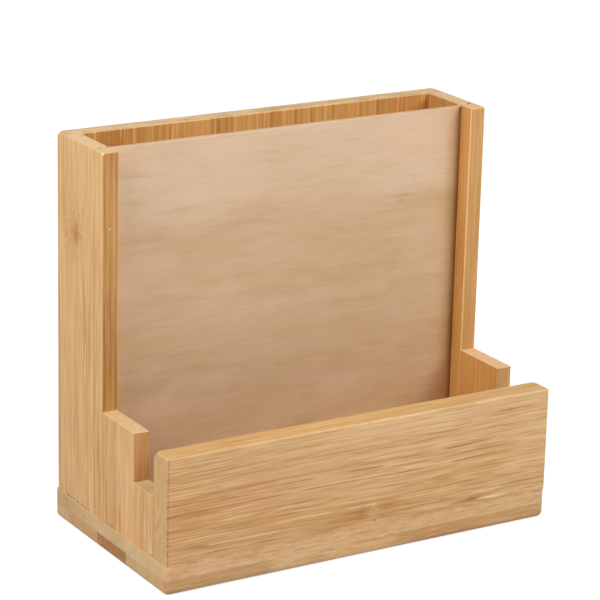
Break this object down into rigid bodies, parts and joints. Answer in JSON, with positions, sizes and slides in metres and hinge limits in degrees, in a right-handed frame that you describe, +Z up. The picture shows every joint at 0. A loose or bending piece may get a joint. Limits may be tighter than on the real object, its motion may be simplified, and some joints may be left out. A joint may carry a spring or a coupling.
{
  "type": "desktop pen cup with phone rest",
  "caption": "Bamboo desk organiser: an open rectangular pen cup behind a stepped rest, with side notches and a low front lip that hold a phone lying on its side.",
  "frame": {"origin": "centre of the footprint, on the underside of the base board", "axes": "+X to the right as seen from the front lip, +Y towards the back panel, +Z up"},
  "size_m": [0.1506, 0.0804, 0.1375],
  "materials": {
    "board_upright_grain": "clear satin bamboo, narrow upright strips",
    "board_level_grain": "clear satin bamboo, grain along the width",
    "thin_panel": "matt pale pinkish bamboo, soft grain along the width",
    "base_ply": "clear satin bamboo, end grain at the sides",
    "dark_strip": "clear satin bamboo, browner strip",
    "dowel_wood": "bare turned wood"
  },
  "bodies": {
    "root": {"back_panel": "board_upright_grain", "left_side_panel": "board_upright_grain", "right_side_panel": "board_upright_grain", "cup_front_panel": "thin_panel", "front_lip_board": "board_level_grain", "base_upper_ply": "base_ply", "base_lower_strip_1": "base_ply", "base_lower_strip_2": "base_ply", "base_lower_strip_3": "dark_strip", "base_lower_strip_4": "base_ply", "base_lower_strip_5": "base_ply", "base_to_side_dowels": "dowel_wood", "lip_to_side_dowels": "dowel_wood", "back_to_side_dowels": "dowel_wood"}
  },
  "joints": []
}
